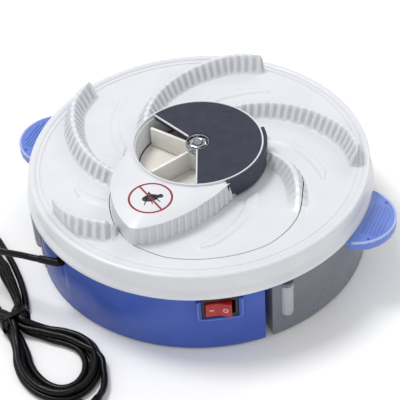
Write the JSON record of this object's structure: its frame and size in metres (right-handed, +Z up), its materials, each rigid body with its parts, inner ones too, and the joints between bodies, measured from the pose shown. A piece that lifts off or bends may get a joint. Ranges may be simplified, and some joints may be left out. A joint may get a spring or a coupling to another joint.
{
  "type": "turntable fly trap",
  "caption": "Round electric fly trap: a slow motor turns vanes under a hood that carry flies to a slide-out tray; spiral-ridged lid, side handles, rocker switch and cord.",
  "frame": {"origin": "middle of the underside, on the rotor's axis, at the bottom of the rubber feet", "axes": "+Z up; +X through the two handles; +Y the way the collecting tray slides out, away from the motor housing"},
  "size_m": [0.2789, 0.3046, 0.072],
  "materials": {
    "blue_plastic": "satin moulded ABS",
    "white_plastic": "semi-gloss moulded ABS",
    "cream_plastic": "satin moulded PP",
    "navy_plastic": "semi-gloss moulded ABS",
    "grey_plastic": "smoked moulded PS",
    "black_plastic": "satin moulded nylon",
    "red_plastic": "gloss moulded",
    "rubber": "matt",
    "steel": "zinc plated",
    "chrome": "bright plated",
    "brass": "bare",
    "cord_pvc": "semi-matt PVC",
    "red_wire": "PVC",
    "tie_plastic": "matt"
  },
  "bodies": {
    "base": {"base_housing": "blue_plastic", "bottom_cover": "blue_plastic", "deck_with_handles": "blue_plastic", "gear_motor": "steel", "bait_dish": "cream_plastic", "switch_body": "black_plastic", "switch_terminal_1": "brass", "switch_terminal_2": "brass", "cord_gland": "black_plastic", "cord_inner_end": "cord_pvc", "cord_clamp": "black_plastic", "wire_cord_to_motor": "cord_pvc", "wire_cord_to_switch": "red_wire", "wire_switch_to_motor": "red_wire", "cord_hank": "cord_pvc", "hank_tie": "tie_plastic", "cord_lead": "cord_pvc", "cord_tail": "cord_pvc", "plug_body": "black_plastic", "plug_shell": "chrome", "plug_tongue": "white_plastic", "cover_screw_1": "steel", "deck_screw_1": "steel", "rubber_foot_1": "rubber", "cover_screw_2": "steel", "deck_screw_2": "steel", "rubber_foot_2": "rubber", "cover_screw_3": "steel", "deck_screw_3": "steel", "rubber_foot_3": "rubber", "cover_screw_4": "steel", "deck_screw_4": "steel", "rubber_foot_4": "rubber", "motor_screw_1": "steel", "clamp_screw_1": "steel", "motor_screw_2": "steel", "clamp_screw_2": "steel"},
    "rotor": {"rotor_shaft": "steel", "rotor_vanes": "cream_plastic", "rotor_washer": "chrome", "rotor_nut": "chrome"},
    "rocker": {"switch_rocker": "red_plastic"},
    "tray": {"collecting_tray": "grey_plastic"},
    "lid": {"lid": "white_plastic"},
    "centre_cover": {"centre_cover": "white_plastic", "hood_top": "navy_plastic", "hood_skirt": "navy_plastic", "hood_edge_strip_1": "white_plastic", "hood_edge_strip_2": "white_plastic"}
  },
  "joints": [
    {"name": "rotor_spin", "type": "hinge", "parent": "base", "child": "rotor", "pos_m": [0, 0, 0.06], "axis": [0, 0, 1], "continuous": true},
    {"name": "rocker_tilt", "type": "hinge", "parent": "base", "child": "rocker", "pos_m": [0.05055, -0.08756, 0.0352], "axis": [0, 0, 1], "range_deg": [0, 18]},
    {"name": "tray_slide", "type": "slide", "parent": "base", "child": "tray", "axis": [0, 1, 0], "range_m": [0, 0.15]},
    {"name": "lid_lift", "type": "slide", "parent": "base", "child": "lid", "axis": [0, 0, 1], "range_m": [0, 0.06]},
    {"name": "centre_cover_lift", "type": "slide", "parent": "lid", "child": "centre_cover", "axis": [0, 0, 1], "range_m": [0, 0.05]}
  ]
}
